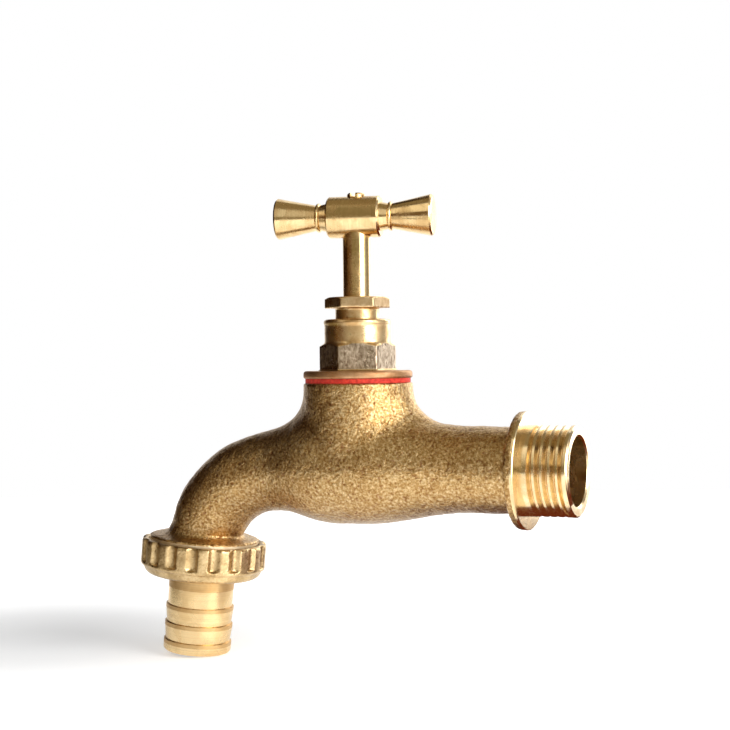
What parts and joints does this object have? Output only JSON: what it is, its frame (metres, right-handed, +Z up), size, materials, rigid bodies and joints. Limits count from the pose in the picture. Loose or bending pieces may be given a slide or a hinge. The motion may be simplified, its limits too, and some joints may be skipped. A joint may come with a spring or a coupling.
{
  "type": "bib tap",
  "caption": "Cast brass wall tap with a T-bar handle, a curved spout and a fluted union nut that holds a barbed hose tail.",
  "frame": {"origin": "centre of the shoulder face that meets the wall fitting, on the axis of the inlet", "axes": "+Z up along the spindle, +X along the inlet towards the wall"},
  "size_m": [0.1134, 0.031, 0.1132],
  "materials": {
    "cast_brass": "rough sand-cast",
    "turned_brass": "turned and milled, dull",
    "spindle_brass": "turned, bright",
    "satin_brass": "satin",
    "red_fibre": "pressed fibre",
    "rubber": "matt",
    "packing": "waxed fibre"
  },
  "bodies": {
    "tap": {"body": "cast_brass", "bonnet_washer": "red_fibre", "bonnet": "turned_brass", "gland_packing": "packing", "gland_ring": "turned_brass", "gland_nut": "turned_brass"},
    "valve": {"jumper_valve": "turned_brass", "valve_washer": "rubber", "jumper_nut": "turned_brass"},
    "spindle_and_bar": {"spindle": "spindle_brass", "handle_bar": "spindle_brass", "handle_screw": "spindle_brass"},
    "tail": {"hose_tail": "satin_brass", "hose_washer": "rubber"},
    "nut": {"union_nut": "satin_brass"}
  },
  "joints": [
    {"name": "valve_lift", "type": "slide", "parent": "tap", "child": "valve", "axis": [0, 0, 1], "range_m": [0, 0.0045]},
    {"name": "spindle_turn", "type": "hinge", "parent": "valve", "child": "spindle_and_bar", "pos_m": [-0.0428, 0, 0.04], "axis": [0, 0, 1], "range_deg": [0, 810.02]},
    {"name": "hose_tail_drop", "type": "slide", "parent": "tap", "child": "tail", "axis": [-0.0941, 0, -0.9956], "range_m": [0, 0.00544]},
    {"name": "union_nut_turn", "type": "hinge", "parent": "tail", "child": "nut", "pos_m": [-0.0853, 0, -0.01895], "axis": [-0.0941, 0, -0.9956], "range_deg": [0, 1080.02]}
  ],
  "couplings": [
    {"joint": "spindle_turn", "follows": "valve_lift", "rad_per_m": 3141.6},
    {"joint": "union_nut_turn", "follows": "hose_tail_drop", "rad_per_m": 3463.7}
  ]
}
